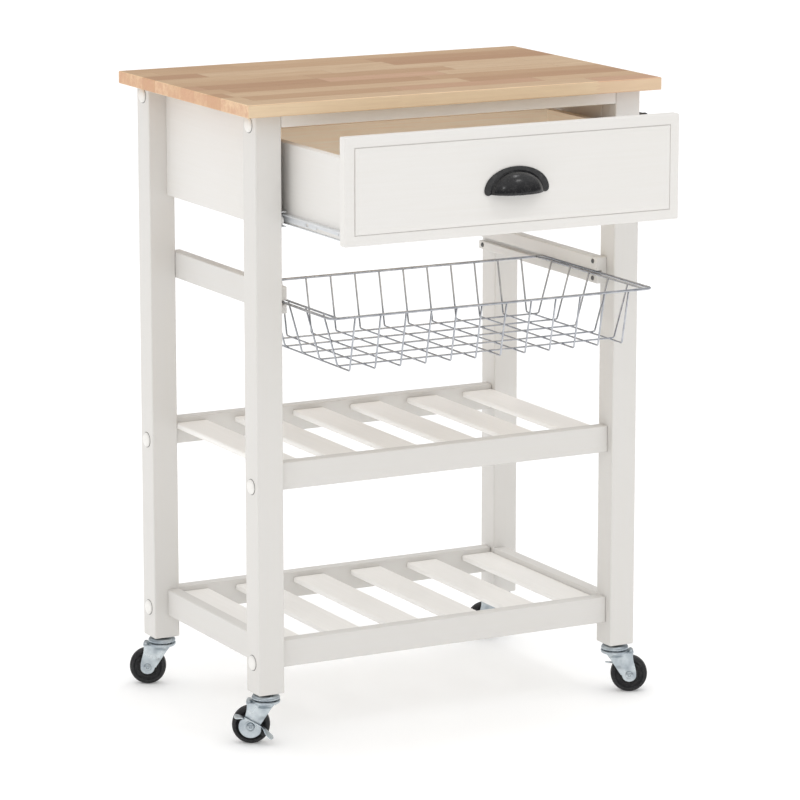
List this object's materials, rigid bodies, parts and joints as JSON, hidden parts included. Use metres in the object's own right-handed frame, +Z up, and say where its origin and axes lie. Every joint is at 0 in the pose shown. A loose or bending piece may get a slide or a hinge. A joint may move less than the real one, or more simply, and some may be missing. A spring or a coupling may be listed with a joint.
{
  "type": "kitchen island cart",
  "caption": "Slim kitchen cart on swivel casters with a wooden work top, a front drawer, a pull-out wire basket, slatted shelves and a side towel bar.",
  "frame": {"origin": "on the floor, at the middle of the cart's footprint with the drawer and the basket open as stored; the point midway between the four legs is 91 mm behind it", "axes": "+Z up; +X to the right seen from the front; -Y the way the drawer and the basket open"},
  "size_m": [0.6414, 0.5819, 0.864],
  "materials": {
    "white_paint": "satin warm white paint",
    "oiled_wood": "oiled edge-glued staves",
    "drawer_wood": "cream inside, white paint outside",
    "runner_metal": "white powder coat",
    "zinc": "bright zinc plate",
    "chrome": "polished chrome plate",
    "black_metal": "satin black",
    "wheel_rubber": "hard black rubber"
  },
  "bodies": {
    "frame": {"leg_front_left": "white_paint", "leg_front_right": "white_paint", "leg_back_left": "white_paint", "leg_back_right": "white_paint", "side_panel_left": "white_paint", "side_panel_right": "white_paint", "back_panel": "white_paint", "top_rail_front": "white_paint", "basket_rail_left": "white_paint", "basket_rail_right": "white_paint", "lower_rail_left": "white_paint", "lower_rail_right": "white_paint", "lower_rail_front": "white_paint", "lower_rail_back": "white_paint", "middle_rail_front": "white_paint", "middle_rail_back": "white_paint", "middle_slat_1": "white_paint", "middle_slat_2": "white_paint", "middle_slat_3": "white_paint", "middle_slat_4": "white_paint", "middle_slat_5": "white_paint", "middle_slat_6": "white_paint", "lower_slat_1": "white_paint", "lower_slat_2": "white_paint", "lower_slat_3": "white_paint", "lower_slat_4": "white_paint", "lower_slat_5": "white_paint", "lower_slat_6": "white_paint", "table_top": "oiled_wood", "cabinet_runner_left": "runner_metal", "cabinet_runner_right": "runner_metal", "towel_bar": "black_metal", "caster_stem_front_left": "zinc", "caster_stem_front_right": "zinc", "caster_stem_back_left": "zinc", "caster_stem_back_right": "zinc"},
    "drawer": {"drawer_front": "white_paint", "drawer_side_left": "drawer_wood", "drawer_side_right": "drawer_wood", "drawer_back": "drawer_wood", "drawer_bottom": "drawer_wood", "cup_pull": "black_metal", "drawer_runner_left": "runner_metal", "drawer_runner_right": "runner_metal"},
    "basket": {"wire_basket": "chrome"},
    "swivel_front_left": {"caster_fork_front_left": "zinc", "caster_axle_front_left": "zinc"},
    "wheel_front_left": {"caster_wheel_front_left": "wheel_rubber"},
    "swivel_front_right": {"caster_fork_front_right": "zinc", "caster_axle_front_right": "zinc"},
    "wheel_front_right": {"caster_wheel_front_right": "wheel_rubber"},
    "swivel_back_left": {"caster_fork_back_left": "zinc", "caster_axle_back_left": "zinc"},
    "wheel_back_left": {"caster_wheel_back_left": "wheel_rubber"},
    "swivel_back_right": {"caster_fork_back_right": "zinc", "caster_axle_back_right": "zinc"},
    "wheel_back_right": {"caster_wheel_back_right": "wheel_rubber"},
    "brake_front_left": {"brake_lever_front_left": "zinc"},
    "brake_front_right": {"brake_lever_front_right": "zinc"}
  },
  "joints": [
    {"name": "drawer_slide", "type": "slide", "parent": "frame", "child": "drawer", "axis": [0, -1, 0], "range_m": [-0.155, 0.07]},
    {"name": "basket_slide", "type": "slide", "parent": "frame", "child": "basket", "axis": [0, -1, 0], "range_m": [-0.156, 0.06]},
    {"name": "swivel_turn_front_left", "type": "hinge", "parent": "frame", "child": "swivel_front_left", "pos_m": [-0.271, -0.075, 0.06], "axis": [0, 0, 1], "continuous": true},
    {"name": "wheel_spin_front_left", "type": "hinge", "parent": "swivel_front_left", "child": "wheel_front_left", "pos_m": [-0.28866, -0.06561, 0.0255], "axis": [-0.4695, -0.8829, 0], "continuous": true},
    {"name": "brake_pedal_front_left", "type": "hinge", "parent": "swivel_front_left", "child": "brake_front_left", "pos_m": [-0.28866, -0.06561, 0.0255], "axis": [-0.4695, -0.8829, 0], "range_deg": [0, 46]},
    {"name": "swivel_turn_front_right", "type": "hinge", "parent": "frame", "child": "swivel_front_right", "pos_m": [0.271, -0.075, 0.06], "axis": [0, 0, 1], "continuous": true},
    {"name": "wheel_spin_front_right", "type": "hinge", "parent": "swivel_front_right", "child": "wheel_front_right", "pos_m": [0.28866, -0.08439, 0.0255], "axis": [0.4695, 0.8829, 0], "continuous": true},
    {"name": "brake_pedal_front_right", "type": "hinge", "parent": "swivel_front_right", "child": "brake_front_right", "pos_m": [0.28866, -0.08439, 0.0255], "axis": [0.4695, 0.8829, 0], "range_deg": [-46, 0]},
    {"name": "swivel_turn_back_left", "type": "hinge", "parent": "frame", "child": "swivel_back_left", "pos_m": [-0.271, 0.257, 0.06], "axis": [0, 0, 1], "continuous": true},
    {"name": "wheel_spin_back_left", "type": "hinge", "parent": "swivel_back_left", "child": "wheel_back_left", "pos_m": [-0.28866, 0.26639, 0.0255], "axis": [-0.4695, -0.8829, 0], "continuous": true},
    {"name": "swivel_turn_back_right", "type": "hinge", "parent": "frame", "child": "swivel_back_right", "pos_m": [0.271, 0.257, 0.06], "axis": [0, 0, 1], "continuous": true},
    {"name": "wheel_spin_back_right", "type": "hinge", "parent": "swivel_back_right", "child": "wheel_back_right", "pos_m": [0.25334, 0.26639, 0.0255], "axis": [-0.4695, -0.8829, 0], "continuous": true}
  ]
}
